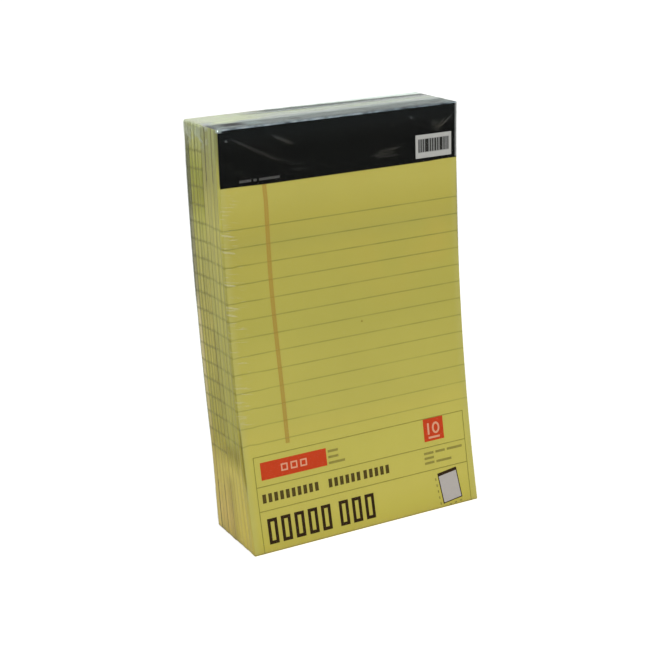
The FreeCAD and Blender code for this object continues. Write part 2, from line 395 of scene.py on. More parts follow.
def make_even_lines():
    """A mask of level lines at an even pitch, counted downwards from the first."""
    inputs = [(name, 0.0) for name in ("Height", "First", "Pitch", "Last Line", "Width", "Soft")]
    group, given, result = new_group("even_lines", inputs, ["Mask"])
    step = calc("DIVIDE", calc("SUBTRACT", given["First"], given["Height"]), given["Pitch"])
    line = calc("MAXIMUM", calc("ROUND", step), 0.0)
    line = calc("MINIMUM", line, given["Last Line"])
    away = product(gap(step, line), given["Pitch"])
    half = product(given["Width"], 0.5)
    inner = calc("SUBTRACT", half, given["Soft"])
    outer = calc("ADD", half, given["Soft"])
    feed(result["Mask"], ease(away, outer, inner))
    return group


def make_ink_lay():
    """Uneven lay of printing ink: faint mottle and pin-holes."""
    group, given, result = new_group("ink_lay", [("Place", None)], ["Tone", "Height"])
    mottle = cloud(given["Place"], 420.0, 3.0, 0.6)
    grain = cloud(given["Place"], 3200.0, 1.0, 0.5)
    feed(result["Tone"], mixed(grain, 0.3, mottle, 0.7))
    feed(result["Height"], grain)
    return group


paper_fibre = make_paper_fibre()
even_lines = make_even_lines()
ink_lay = make_ink_lay()


# ---------------- finishes

def tinted(colour, tone, low, high, low_at=0.25, high_at=0.75):
    """A colour made darker and lighter by a tone from 0 to 1."""
    factor = ease(tone, low_at, high_at, low, high)
    parts = {0: factor, 1: factor, 2: factor}
    grey = add_node(tone.id_data, "ShaderNodeCombineXYZ", parts).outputs[0]
    return blend_colours(1.0, colour, grey, "MULTIPLY")


def height_tint(height, tints):
    """A colour that changes with height, from a list of heights in millimetres and colours."""
    share = calc("DIVIDE", height, sheet_height)
    ramp = add_node(height.id_data, "ShaderNodeValToRGB", {0: share})
    stops = ramp.color_ramp.elements
    while len(stops) < len(tints):
        stops.new(0.5)
    for stop, (at, colour) in zip(stops, tints):
        stop.position = at * mm / sheet_height
        stop.color = srgb(*colour)
    return ramp.outputs[0]


# Heights in millimetres and the cover's colour at each.
cover_tints = [
    (0, (183, 170, 77)), (6, (186, 176, 80)), (16, (190, 180, 87)), (44, (188, 180, 87)),
    (56, (186, 176, 86)), (64, (181, 173, 85)), (92, (179, 171, 83)), (105, (174, 167, 80)),
    (140, (174, 165, 78)), (148, (170, 162, 78)), (158, (175, 165, 77)), (170, (181, 172, 85)),
]


def cover_paper(place, fibre, drift):
    """The cover's bare paper, warmer on the upper right and paler at its sides."""
    parts = split(place)
    sheet = height_tint(parts[z_axis], cover_tints)
    sheet = tinted(sheet, mixed(drift, 0.6, fibre["Tone"], 0.4), 0.965, 1.035)
    upper_right = region(parts, across=(-10, 40), height=(96, 130))
    warm = product(upper_right, ease(cloud(place, 26.0, 1.0), 0.42, 0.62), 0.45)
    sheet = paint(warm, sheet, (186, 166, 78))
    from_side = calc("SUBTRACT", half_width, calc("ABSOLUTE", parts[x_axis]))
    paler = ease(from_side, 4.5 * mm, 0.5 * mm, 0.0, 0.5)
    return paint(paler, sheet, (180, 175, 102))


def cover_rules(place):
    """A mask of the cover's rules, worn in places and uneven near the left side."""
    across, _, height = split(place)
    near_left = ease(across, -half_width + 22 * mm, -half_width, 0.0, 2.4 * mm)
    sway = calc("SUBTRACT", cloud(scaled(place, 1.0, 0.0, 1.0), 95.0, 1.0), 0.5)
    rules = use_group(even_lines, {
        "Height": add_scaled(sway, near_left, height),
        "First": stack_foot + first_rule_height, "Pitch": rule_pitch,
        "Last Line": rule_count - 1.0, "Width": 0.56 * mm, "Soft": 0.18 * mm,
    })["Mask"]
    worn = cloud(scaled(place, 60.0, 0.0, 400.0), 1.0, 2.0)
    inked = ease(height, 50 * mm, 160 * mm, 0.6, 0.95)
    return product(rules, ease(worn, 0.3, 0.6, 0.55, 1.0), inked)


def cover_margin(across, height):
    """A mask of the double margin line, which stands further in at its foot."""
    low_aside = ease(height, 140 * mm, 66 * mm, 22.6 * mm, 24.05 * mm)
    top_aside = ease(height, 166 * mm, 178 * mm, 0.0, -0.6 * mm)
    margin_place = calc("SUBTRACT", calc("ADD", low_aside, top_aside), half_width)
    from_margin = gap(across, margin_place)
    lines = between(from_margin, 0.3 * mm, 1.05 * mm, 0.4 * mm)
    middle = ease(from_margin, 0.9 * mm, 0.5 * mm, 0.0, 0.8)
    top = stack_foot + header_foot + 1 * mm
    reach = between(height, stack_foot + 50.5 * mm, top, 0.25 * mm)
    return product(calc("MAXIMUM", lines, middle), reach, 0.74)


def cover_header_foot(across, height):
    """A mask of the header's black where it runs down past the printed field."""
    left_rise = ease(across, -62 * mm, -36 * mm, 0.3 * mm, 0.74 * mm)
    right_rise = ease(across, 46 * mm, 55 * mm, 0.0, -0.24 * mm)
    below_header = calc("SUBTRACT", stack_foot + header_foot, height)
    past_ink = calc("SUBTRACT", below_header, calc("ADD", left_rise, right_rise))
    return ease(past_ink, 0.18 * mm, -0.18 * mm)


def cover_speck(place):
    """A mask of one small speck in the paper."""
    middle = (6.34 * mm, 0, stack_foot + 102.4 * mm)
    ends = {0: scaled(place, 1.0, 0.0, 1.0), 1: middle}
    away = add_node(place.id_data, "ShaderNodeVectorMath", ends, operation="DISTANCE").outputs["Value"]
    return product(ease(away, 0.55 * mm, 0.25 * mm), 0.85)


def canary_cover_stock():
    """Yellow cover sheet with its printed rules and double margin line."""
    finish, tree, shader = new_finish("canary_cover_stock")
    place = object_place(tree)
    across, _, height = split(place)
    fibre = use_group(paper_fibre, {"Place": place})
    drift = cloud(place, 16.0, 2.0)
    sheet = cover_paper(place, fibre, drift)
    sheet = paint(cover_rules(place), sheet, (136, 137, 66))
    sheet = paint(cover_margin(across, height), sheet, (160, 122, 52))
    sheet = paint(cover_header_foot(across, height), sheet, (16, 15, 10))
    sheet = paint(cover_speck(place), sheet, (112, 96, 40))
    coat(shader, sheet, fibre["Tone"], 0.72, 0.85)
    add_bump(shader, add_scaled(drift, 6.0, fibre["Height"]), 0.03 * mm, 0.35)
    return finish


# Darker parts of the stack's sides: spans in depth and height, and how much darker. The band from 43 to 50
# mm high is painted shade; the other spans are only darker.
darker_spans_with_shade = [
    ((16, 22.5, 1.6), (-10, 32, 3), 0.28), ((12, 18.5, 1.6), (174, 220, 3), 0.2),
    ((4, 23, 1.6), (43, 50, 3), 0.24), ((14.5, 20, 1.6), (52, 104, 3), 0.2),
]


def leaf_edges(name, tints, grain, first_mark, last_mark, mark_strength):
    """Cut edges of a pad's leaves: fine stripes, and the ends of the rules that bleed off."""
    finish, tree, shader = new_finish(name)
    place = flat_place(tree)
    parts = split(place)
    _, depth, height = parts
    fibre = use_group(paper_fibre, {"Place": place})
    leaves = cloud(scaled(place, 0.02, 1.0, 0.012), 2300.0, 2.0, 0.6)
    gathers = cloud(scaled(place, 0.02, 1.0, 0.03), 620.0, 2.0, 0.6)
    tone = add_scaled(leaves, 0.35, mixed(gathers, 0.45, fibre["Tone"], 0.2))
    drift = cloud(scaled(place, 0.3, 1.0, 0.3), 150.0, 2.0)
    # The height wanders a little, so the painted reflection and shade band in the tints get soft, uneven
    # edges.
    wavy_height = add_scaled(drift, 9 * mm, calc("SUBTRACT", height, 4.5 * mm))
    # The stripes grow fainter towards the foot, washed out under the painted reflection of the film there.
    spread = ease(height, 36 * mm, 50 * mm, 0.25 * grain, grain)
    dark = add_scaled(spread, -0.24, 1.0)
    light = add_scaled(spread, 0.2, 1.0)
    body = tinted(height_tint(wavy_height, tints), tone, dark, light, 0.34, 0.66)

    wander = cloud(scaled(place, 0.0, 1.0, 0.3), 260.0, 2.0)
    offset = ease(depth, 17 * mm, 37 * mm, -0.7 * mm, 0.5 * mm)
    wander = add_scaled(wander, 1.4 * mm, offset)
    marks = use_group(even_lines, {
        "Height": calc("ADD", height, wander), "First": first_mark, "Pitch": rule_pitch,
        "Last Line": last_mark, "Width": 1.25 * mm, "Soft": 0.45 * mm,
    })["Mask"]
    broken = ease(cloud(scaled(place, 0.0, 1.0, 0.1), 900.0, 2.0), 0.3, 0.55, 0.45, 1.0)
    body = paint(product(marks, broken, mark_strength), body, (98, 100, 50))

    # Paints each span darker; the band from 43 to 50 mm high is painted shade.
    for depths, heights, share in darker_spans_with_shade:
        where = product(region(parts, depth=depths, height=heights), share)
        body = paint(where, body, (116, 100, 46))
    coat(shader, body, fibre["Tone"], 0.74, 0.9)
    add_bump(shader, calc("ADD", leaves, fibre["Height"]), 0.05 * mm, 0.5)
    return finish


# Heights in millimetres and colours up the boards' cut edges, in front and at the rear. Their pale, warm
# colour below about 40 mm is a painted reflection of the film, as on the leaves' edges.
board_front_tints = [(0, (196, 178, 92)), (40, (184, 170, 88)), (52, (160, 154, 90)), (190, (158, 156, 100))]
board_rear_tints = [(0, (196, 174, 96)), (40, (180, 164, 88)), (52, (138, 132, 68)), (190, (138, 138, 76))]


def grey_chipboard():
    """Backing board: grey pulp with dark and pale flecks."""
    finish, tree, shader = new_finish("grey_chipboard")
    place = flat_place(tree)
    fibre = use_group(paper_fibre, {"Place": place, "Coarseness": 2.2})
    across, depth, height = split(place)
    front = height_tint(height, board_front_tints)
    rear = height_tint(height, board_rear_tints)
    edge = blend_colours(ease(depth, 17 * mm, 21 * mm), front, rear)
    from_middle = calc("ABSOLUTE", across)
    at_side = ease(from_middle, half_width - 1.2 * mm, half_width - 0.6 * mm)
    at_top = ease(height, sheet_height - 1.2 * mm, sheet_height - 0.6 * mm)
    cut = calc("MAXIMUM", at_side, at_top)
    board = tinted(blend_colours(cut, srgb(156, 150, 134), edge), fibre["Tone"], 0.92, 1.08)
    flecks = cloud(scaled(place, 1.0, 1.0, 0.6), 1500.0, 1.0)
    board = paint(ease(flecks, 0.64, 0.7, 0.0, 0.3), board, (104, 96, 68))
    board = paint(ease(flecks, 0.34, 0.28, 0.0, 0.4), board, (178, 172, 152))
    coat(shader, board, fibre["Tone"], 0.8, 0.95, shine=0.2)
    add_bump(shader, fibre["Height"], 0.06 * mm, 0.5)
    return finish


def black_binding_tape():
    """Black paper tape with a fine crepe across it, yellowed where it is cut."""
    finish, tree, shader = new_finish("black_binding_tape")
    place = flat_place(tree)
    fibre = use_group(paper_fibre, {"Place": place, "Coarseness": 1.4})
    crepe = cloud(scaled(place, 0.25, 1.0, 1.0), 1700.0, 2.0, 0.6)
    tape = tinted(srgb(30, 31, 33), crepe, 0.7, 1.5)
    from_middle = calc("ABSOLUTE", split(object_place(tree))[x_axis])
    cut = ease(from_middle, half_width - 0.2 * mm, half_width - 0.1 * mm)
    high_up = ease(split(place)[z_axis], 60 * mm, 140 * mm)
    edge = paint(high_up, srgb(160, 142, 80), (128, 122, 78))
    coat(shader, blend_colours(cut, tape, edge), fibre["Tone"], 0.5, 0.68, shine=0.35)
    add_bump(shader, crepe, 0.04 * mm, 0.6)
    return finish


def staple_steel():
    """Bright wire with faint lines from drawing."""
    finish, tree, shader = new_finish("staple_steel")
    drawn = cloud(scaled(object_place(tree), 0.15, 1.0, 1.0), 2600.0, 2.0)
    steel = tinted(srgb(186, 188, 190), drawn, 0.85, 1.08)
    coat(shader, steel, drawn, 0.28, 0.42, shine=0.5)
    shader.inputs["Metallic"].default_value = 1.0
    return finish


def printing_ink(name, colour, spread, roughness):
    """A printed field: its colour, or what gives its colour by place, with an uneven lay."""
    finish, tree, shader = new_finish(name)
    place = object_place(tree)
    lay = use_group(ink_lay, {"Place": place})
    if callable(colour):
        across, _, height = split(place)
        colour = colour(across, height)
    ink = tinted(colour, lay["Tone"], 1 - spread, 1 + spread)
    coat(shader, ink, lay["Tone"], roughness - 0.06, roughness + 0.06, shine=0.05)
    add_bump(shader, lay["Height"], 0.01 * mm, 0.4)
    return finish


def turned(vector, degrees):
    """A vector turned in the plane of the cover, for slanted patterns."""
    turn = (0.0, math.radians(degrees), 0.0)
    return add_node(vector.id_data, "ShaderNodeMapping", {"Vector": vector, "Rotation": turn}).outputs[0]


def on_front_face(depth):
    """A mask of the film's front."""
    return ease(depth, 1.2 * mm, 0.3 * mm)


def on_left_face(across):
    """A mask of the film's left side."""
    return ease(across, -half_width + 0.4 * mm, -half_width - 0.2 * mm)


def on_top_face(height):
    """A mask of the film's top."""
    return ease(height, sheet_height - 0.2 * mm, sheet_height + 0.3 * mm)


def near_edge(first, first_at, second, second_at, reach):
    """A mask along one edge of the film, near both of its places."""
    away = calc("MAXIMUM", gap(first, first_at), gap(second, second_at))
    return ease(away, reach, 0.5 * reach)


def fold(across, height, start, end, reach):
    """A soft line between two places of the film, given in millimetres."""
    length = math.dist(start, end)
    run, rise = ((b - a) / length for a, b in zip(start, end))
    right = calc("SUBTRACT", across, start[0] * mm)
    up = calc("SUBTRACT", height, start[1] * mm)
    along = mixed(up, rise, right, run)
    aside = mixed(up, run, right, -rise)
    narrow = ease(calc("ABSOLUTE", aside), reach * mm, 0.2 * reach * mm)
    soft = min(2.0, 0.4 * length) * mm
    return product(narrow, between(along, 0.5 * soft, length * mm - 0.5 * soft, soft))


# Creases of the film over the header, each drawn as a painted highlight: where each starts and ends, how
# wide and how bright.
header_folds = [
    ((-58, 199.4), (-46, 193), 0.8, 1.2), ((-50, 195.2), (-33, 185.9), 1.1, 0.75),
    ((-37, 198.4), (-26, 193.2), 1.1, 1.6), ((-28.5, 183.8), (-19, 183.6), 1.0, 0.35),
    ((-28, 180.8), (-19, 180.4), 1.0, 0.35), ((18, 183.8), (31, 184.7), 0.9, 1.1),
    ((16, 182.5), (29, 182.9), 0.8, 0.9), ((18, 181.2), (31, 181.2), 0.8, 0.8),
    ((51.5, 191.2), (61, 197.6), 0.6, 2.4), ((52.8, 192.7), (56.6, 197), 0.6, 2.4),
    ((48.5, 195.5), (55, 191.5), 3.0, 0.9), ((-5, 187), (-3, 182), 1.2, 0.35),
    ((36.5, 198.6), (38.5, 197.8), 0.9, 4.0), ((26.4, 196), (28, 196.2), 0.8, 3.0),
    ((-60.4, 198), (-59, 198.3), 0.9, 6.0),
]


def film_on_header(place):
    """Painted highlights along slanted creases of the film over the black header, faint painted streaks, and
    a painted bluish reflection near its top.
    """
    across, depth, height = split(place)
    above_foot = ease(height, header_foot - 1 * mm, header_foot + 4 * mm)
    on_header = product(on_front_face(depth), above_foot)
    sway = calc("SUBTRACT", cloud(place, 90.0, 1.0), 0.5)
    wavy = add_scaled(sway, 1.6 * mm, height)
    crease_highlights = 0.0
    for start, end, reach, strength in header_folds:
        crease = fold(across, wavy, start, end, reach)
        crease_highlights = calc("MAXIMUM", crease_highlights, product(crease, strength))
    slack = cloud(scaled(turned(place, -27), 14.0, 0.0, 150.0), 2.4, 4.0, 0.6, 0.3)
    upper = product(ease(height, 190 * mm, 204 * mm), on_header)
    # Pale painted highlights on the creases and streaks, and a bluish painted reflection high on the header.
    return [
        (product(crease_highlights, on_header), 0.02, (206, 196, 170)),
        (product(ease(slack, 0.54, 0.72), on_header), 0.006, (206, 200, 176)),
        (upper, 0.005, (190, 214, 226)),
    ]


# Where the film's top comes clear of the gathers on its left.
clear_of_left = (-41 * mm, -27 * mm)

# Painted glints on ripples near the cover's left edge: how high and how long each is, in millimetres.
edge_ripples = [(154.9, 6.0), (147.1, 6.5), (131.6, 5.0), (120.8, 6.0), (117.2, 4.5)]


def film_on_front(place):
    """Short ripples of the film along the cover's left edge, drawn as painted glints."""
    across, depth, height = split(place)
    on_front = on_front_face(depth)
    strip = ease(across, -half_width + 10 * mm, -half_width + 4 * mm)
    where = product(on_front, strip, between(height, 64 * mm, 170 * mm, 10 * mm))
    waves = cloud(scaled(turned(place, -9), 40.0, 0.0, 420.0), 2.6, 1.0)
    line = add_scaled(calc("ADD", across, half_width), 0.24, height)
    bright = 0.0
    for at, reach in edge_ripples:
        short = ease(across, -half_width + reach * mm, -half_width + 0.4 * reach * mm)
        ridge = product(between(line, (at - 0.3) * mm, (at + 0.3) * mm, 0.3 * mm), short)
        bright = calc("MAXIMUM", bright, ridge)
    # Both layers are painted glints of the film.
    return [
        (product(ease(waves, 0.56, 0.7), where), 0.11, (240, 236, 190)),
        (product(bright, on_front), 0.24, (242, 238, 184)),
    ]


def rear_slant(across, depth):
    """How far back a place of the film's top is, counted along the slant of its painted rear shade band and
    highlight.
    """
    return add_scaled(across, 0.06, depth)


def rear_shade(place):
    """A mask of the painted shade band along the rear of the film's top."""
    across, depth, height = split(place)
    slanted = rear_slant(across, depth)
    return product(
        on_top_face(height), ease(across, *clear_of_left),
        ease(slanted, 25.5 * mm, 31.5 * mm), ease(slanted, 35.8 * mm, 34.4 * mm)
    )


def film_on_top(place):
    """Painted grey sheen over the taped ends, and milky gathers with painted sheen over the open ends behind
    them; also a painted glint, a painted shade band along the rear, a painted highlight behind it and pale
    painted highlights on the left.
    """
    parts = split(place)
    across, depth, height = parts
    on_top = on_top_face(height)
    streaks = cloud(scaled(place, 16.0, 120.0, 0.0), 1.8, 3.0, 0.6, 0.5)
    patches = cloud(scaled(place, 1.0, 1.4, 0.0), 60.0, 2.0)
    glint = product(on_top, region(parts, across=(-47, -38, 3), depth=(4, 9, 2)))
    taped = product(on_top, ease(depth, 16 * mm, 10 * mm), ease(streaks, 0.52, 0.7))
    behind_rear_shade = ease(rear_slant(across, depth), 35.2 * mm, 36.4 * mm)
    rear_highlight = product(on_top, ease(across, *clear_of_left), behind_rear_shade)
    left = ease(across, -20 * mm, -52 * mm)
    rear = ease(depth, 9.5 * mm, 15.5 * mm)
    thinning = calc("MAXIMUM", left, ease(depth, 30 * mm, 24 * mm))
    milky = product(on_top, rear, thinning, ease(streaks, 0.3, 0.62, 0.45, 1.0))
    left_rear = product(on_top, left, ease(depth, 18 * mm, 23 * mm))
    left_patches = product(on_top, rear, left, ease(patches, 0.42, 0.58))
    # All these layers are painted light, except that the milky gathers are partly the film's real clouding.
    return [
        (glint, 0.12, (206, 222, 226)),
        (taped, 0.12, (206, 224, 228)),
        (rear_shade(place), 0.96, (38, 36, 40)),
        (rear_highlight, 0.8, (252, 253, 252)),
        (milky, 0.42, (216, 207, 214)),
        (left_rear, 0.45, (242, 234, 212)),
        (left_patches, 0.4, (244, 240, 206)),
    ]


def film_on_side(place):
    """Painted highlights on the gathered corner at the top of the left side."""
    parts = split(place)
    on_left = on_left_face(parts[x_axis])
    patches = ease(cloud(scaled(place, 1.0, 1.0, 1.4), 170.0, 2.0), 0.46, 0.58)
    top = region(parts, depth=(12, 19), height=(197, 202))
    upper = region(parts, depth=(8, 16), height=(191, 200))
    corner = region(parts, depth=(32, 37), height=(190, 201))
    # Pale painted highlights on the film's gathered corner.
    return [
        (product(on_left, top), 0.16, (232, 238, 206)),
        (product(on_left, upper, patches), 0.4, (226, 230, 200)),
        (product(on_left, corner), 0.2, (240, 244, 222)),
    ]


def film_edges(place):
    """Thin lines where the film turns a corner: painted highlights, bright at the top, and painted shade,
    dark beside the stack and along its foot.
    """
    across, depth, height = split(place)
    inset = 0.4 * mm
    left, right = -film_half_width + inset, film_half_width - inset
    front, rear = film_front + inset, film_back - inset
    top, foot = film_top - inset, inset
    broken = ease(cloud(scaled(place, 1.0, 0.0, 0.0), 190.0, 3.0), 0.38, 0.6, 0.15, 1.0)
    on_right = ease(across, -10 * mm, 40 * mm, 1.0, 0.4)
    top_front = product(near_edge(depth, front, height, top, 0.6 * mm), broken, on_right)
    at_left = ease(across, left + 3 * mm, left + 1 * mm)
    corner = product(near_edge(depth, front, height, top, 1.6 * mm), at_left)
    left_front = near_edge(across, left, depth, front, 0.6 * mm)
    left_front = product(left_front, between(height, 30 * mm, 64 * mm, 6 * mm))
    left_rear = product(
        ease(across, left + 0.6 * mm, left + 0.2 * mm),
        between(depth, rear - 2.4 * mm, rear - 0.7 * mm, 0.4 * mm),
        ease(height, 108 * mm, 122 * mm, 0.35, 1.0), between(height, 50 * mm, 191 * mm, 8 * mm)
    )
    right_front = near_edge(across, right, depth, front, 0.9 * mm)
    right_front = product(right_front, between(height, 130 * mm, 170 * mm, 12 * mm))
    # Painted highlights first, then lines of painted shade.
    return [
        (top_front, 0.36, (204, 216, 220)),
        (corner, 0.36, (206, 220, 214)),
        (left_front, 0.13, (96, 90, 40)),
        (left_rear, 0.3, (78, 80, 58)),
        (right_front, 0.2, (128, 124, 84)),
        (near_edge(across, left, height, foot, 0.7 * mm), 0.3, (110, 88, 44)),
        (near_edge(depth, front, height, foot, 0.7 * mm), 0.16, (120, 104, 40)),
    ]


def dull_on_top(place):
    """How much the film's top has lost its gloss, in streaks and in one hollow."""
    parts = split(place)
    streaks = cloud(scaled(place, 30.0, 160.0, 0.0), 1.8, 3.0, 0.6, 0.5)
    hollow = product(region(parts, across=(-58, -47, 3), depth=(4, 13, 2)), 0.95)
    dull = calc("MAXIMUM", ease(streaks, 0.5, 0.32, 0.0, 0.6), hollow)
    return product(on_top_face(parts[z_axis]), dull)


def clear_shrink_film():
    """Glossy clear film, milky where it is gathered, with painted highlights, sheen and shade laid on where
    it is creased and at its edges.
    """
    finish, tree, shader = new_finish("clear_shrink_film")
    place = flat_place(tree)
    slack = cloud(place, 70.0, 3.0, 0.5, 0.4)
    pulls = cloud(scaled(place, 0.35, 1.0, 1.6), 260.0, 2.0, 0.5, 0.3)
    haze_and_painted_light = 0.0
    tint = tinted(srgb(240, 246, 247), slack, 0.97, 1.02)
    # Each layer paints its colour and raises the film's opacity; most layers are painted light.
    for layers in (film_on_header, film_on_front, film_on_top, film_on_side, film_edges):
        for mask, strength, colour in layers(place):
            tint = paint(mask, tint, colour)
            haze_and_painted_light = calc("MAXIMUM", haze_and_painted_light, product(mask, strength))

    relief = add_bump(shader, add_scaled(slack, 2.0, pulls), 0.12 * mm, 0.35)
    seen = add_node(tree, "ShaderNodeLayerWeight", {"Blend": 0.5, "Normal": relief})
    turned_away = calc("POWER", seen.outputs["Facing"], 5.0)
    gloss = add_scaled(dull_on_top(place), -0.3, 0.3)
    mirror = add_scaled(turned_away, gloss, 0.0008)
    feed(shader.inputs["Alpha"], calc("ADD", mirror, haze_and_painted_light, use_clamp=True))
    # Less metallic in the painted shade band at the rear of the top, which makes that band darker.
    feed(shader.inputs["Metallic"], add_scaled(rear_shade(place), -0.45, 1.0))
    shader.inputs["Specular Tint"].default_value = (0.9, 1.0, 0.93, 1.0)
    coat(shader, tint, pulls, 0.06, 0.16, shine=0.0)
    return finish


# ---------------- pads

def pad_shift(number):
    """How far a pad stands aside from the middle of the stack."""
    return pad_stagger * (number * 3 % 5 - 2) / 2


def pad_front(number):
    """The depth of the front of a pad's tape."""
    return cover_thickness + number * pad_pitch


def bound_at_top(number):
    """Whether a pad stands with its bound end up."""
    return number < pads_bound_end_up


def pad_foot(number):
    """Pads that are bound at their foot stand on the fold of their tape."""
    return stack_foot if bound_at_top(number) else stack_foot + tape_thickness


def finish_pad_piece(piece, number, name, finish, node):
    """Finishes one pad's piece, which stands in for a node of the same pad."""
    pad = "pad_%02d_" % (number + 1)
    finish_piece(piece, pad + name, finish, [pad + node])


def leaf_block():
    """The leaves of one pad, flat, with the first leaf's front foot at the origin."""
    leaf = block((-half_width, 0, 0), (half_width, leaf_thickness, sheet_height))
    divide_along(leaf, z_axis, leaf_cuts)
    apply_modifier(
        leaf, "ARRAY", count=leaves_per_pad, use_relative_offset=False, use_constant_offset=True,
        constant_offset_displace=(0, leaf_thickness, 0), use_merge_vertices=False
    )
    return leaf


def riffle(leaves, number):
    """Sets each leaf a little aside and a little short, as cut and stacked paper lies."""
    chance = random.Random(riffle_seed + number)
    asides = [chance.uniform(-leaf_play, leaf_play) for _ in range(leaves_per_pad)]
    shorts = [chance.uniform(0.0, leaf_shortfall) for _ in range(leaves_per_pad)]
    # Faces of two leaves that touch lie at one depth, so they move together and no gap opens.
    for point in leaves.data.vertices:
        leaf = min(int((point.co.y + rounding) / leaf_thickness * nearly_one), leaves_per_pad - 1)
        point.co.x += asides[leaf]
        share = point.co.z / sheet_height
        rise = 1 - share if bound_at_top(number) else -share
        point.co.z += shorts[leaf] * rise
    leaves.data.update()


def make_leaves(number, pattern, finish):
    """One pad's leaves in their place in the bent stack."""
    leaves = own_copy(pattern)
    riffle(leaves, number)
    place = (pad_shift(number), pad_front(number) + tape_thickness, pad_foot(number))
    leaves.data.transform(Matrix.Translation(place))
    bend_with_stack(leaves)
    finish_pad_piece(leaves, number, "leaves", finish, "sheets")


def clear_of_tape(pad, flap, height):
    """0 to 1: how clear a height is of a pad's tape, whose flap has that length."""
    if bound_at_top(pad):
        from_flap = stack_foot + sheet_height - flap - height
    else:
        from_flap = height - stack_foot - flap
    return fade(from_flap, 2 * mm, 8 * mm)


def room_behind(number, height):
    """Room between a pad's board and what lies behind it, away from their tapes."""
    own = clear_of_tape(number, tape_rear_height, height)
    behind = clear_of_tape(number + 1, tape_front_height, height) if number + 1 < pad_count else 0.0
    return tape_thickness * own * (1 + behind)


def press_board(board, number, back):
    """Swells a board into the room behind it, as the tight film presses the pads together."""
    for point in board.data.vertices:
        if point.co.y < back - board_thickness / 2:
            continue
        height = point.co.z
        from_side = half_width - abs(point.co.x - pad_shift(number))
        at_edge = 0.2 + 0.7 * fade(height, 46 * mm, 36 * mm)
        share = max(at_edge, fade(from_side, 0.0, 5 * mm)) * 0.97
        point.co.y += room_behind(number, height) * share
    board.data.update()


def make_board(number, finish):
    """Chipboard behind a pad's leaves, with its edges slightly broken."""
    back = pad_front(number) + pad_pitch - tape_thickness
    shift = pad_shift(number)
    foot = pad_foot(number)
    board = block(
        (shift - half_width, back - board_thickness, foot),
        (shift + half_width, back, foot + sheet_height)
    )
    apply_modifier(board, "BEVEL", width=board_corner, segments=1, limit_method="ANGLE")
    divide_along(board, x_axis, board_cuts_across)
    divide_along(board, z_axis, board_cuts_up)
    press_board(board, number, back)
    bend_with_stack(board)
    finish_pad_piece(board, number, "backing", finish, "board")


def make_tape(number, finish):
    """Tape folded over a pad's bound end: front flap, fold and shorter rear flap."""
    way = 1 if bound_at_top(number) else -1
    bound_edge = pad_foot(number) + (sheet_height if way > 0 else 0.0)
    end = bound_edge + way * tape_thickness
    flap_height = tape_front_height + tape_thickness
    middle = (pad_shift(number), pad_front(number), end - way * flap_height / 2)
    bpy.ops.object.select_all(action="DESELECT")
    bpy.ops.mesh.primitive_plane_add(size=1, location=middle, rotation=(math.pi / 2, 0, 0))
    tape = bpy.context.object
    tape.scale = (sheet_width, flap_height, 1)
    bpy.ops.object.transform_apply(location=True, rotation=True, scale=True)

    def at_bound_end(first, second):
        return max(abs(first.z - end), abs(second.z - end)) < nearly_zero

    pick_edges(tape, at_bound_end)
    bpy.ops.mesh.extrude_region_move(TRANSFORM_OT_translate={"value": (0, pad_pitch, 0)})
    drop = -way * (tape_rear_height + tape_thickness)
    bpy.ops.mesh.extrude_region_move(TRANSFORM_OT_translate={"value": (0, 0, drop)})
    bpy.ops.object.mode_set(mode="OBJECT")
    sharp = math.radians(40)
    apply_modifier(
        tape, "BEVEL", width=tape_corner, segments=3, limit_method="ANGLE", angle_limit=sharp
    )
    apply_modifier(tape, "SOLIDIFY", thickness=tape_thickness, offset=-1)
    divide_along(tape, z_axis, tape_cuts)
    bend_with_stack(tape)
    bpy.ops.object.shade_smooth_by_angle(angle=sharp)
    finish_pad_piece(tape, number, "tape", finish, "binding")


def make_cover(finish):
    """The printed cover sheet, smooth along the bend."""
    cover = block((-half_width, 0, stack_foot), (half_width, cover_thickness, stack_foot + sheet_height))
    divide_along(cover, z_axis, cover_cuts)
    bend_with_stack(cover)
    bpy.ops.object.shade_smooth_by_angle(angle=math.radians(30))
    nodes = ["cover_sheet", "ruling_print", "margin_print"]
    finish_piece(cover, "printed_cover", finish, nodes)


# ---------------- film

def crinkle(place):
    """How far the film stands out at a flat place: slack, ripples and gathers."""
    x, y, z = place
    slack = 0.07 * noise.noise(place * 45) + 0.03 * noise.noise(place * 160)
    left_edge = fade(x, -film_half_width + 11 * mm, -film_half_width + 2 * mm)
    near_front = fade(y, 5 * mm, 0.0)
    ripple = noise.noise(Vector((x * 40, 0, z * 330))) * left_edge * near_front * 0.16
    end = max(fade(z, film_top - 13 * mm, film_top - 1 * mm), fade(z, 10 * mm, 1 * mm) * 0.7)
    gather = noise.noise(Vector((x * 260, y * 260, z * 30 + 7))) * end * 0.13
    side_gap = film_half_width - abs(x)
    depth_gap = min(y - film_front, film_back - y)
    corner_gap = math.hypot(side_gap, depth_gap)
    corner = fade(corner_gap, 9 * mm, 1 * mm) * end
    tuck = noise.noise(Vector((math.atan2(depth_gap, side_gap) * 5, z * 90, 3))) * corner * 0.3
    return (slack + ripple + gather + tuck) * mm


def make_film(finish):
    """Clear film drawn tight round the stack, with rounded edges and small crinkles."""
    film = block((-film_half_width, film_front, 0), (film_half_width, film_back, film_top))
    apply_modifier(film, "BEVEL", width=film_corner, segments=4, limit_method="ANGLE")
    for axis, cuts in zip((x_axis, y_axis, z_axis), film_cuts):
        divide_along(film, axis, cuts)
    points = film.data.vertices
    places = [point.co.copy() for point in points]
    normals = [point.normal.copy() for point in points]
    for point, place, normal in zip(points, places, normals):
        away = crinkle(place)
        if place.z < flat_foot:
            away = min(away, 0.0)
        point.co = place + normal * away
        point.co.z = max(point.co.z, 0.0)
    film.data.update()
    apply_modifier(film, "SOLIDIFY", thickness=film_skin, offset=-1)
    bend_with_stack(film)
    bpy.ops.object.shade_smooth_by_angle(angle=math.radians(50))
    finish_piece(film, "shrink_film_skin", finish, ["shrink_film"])
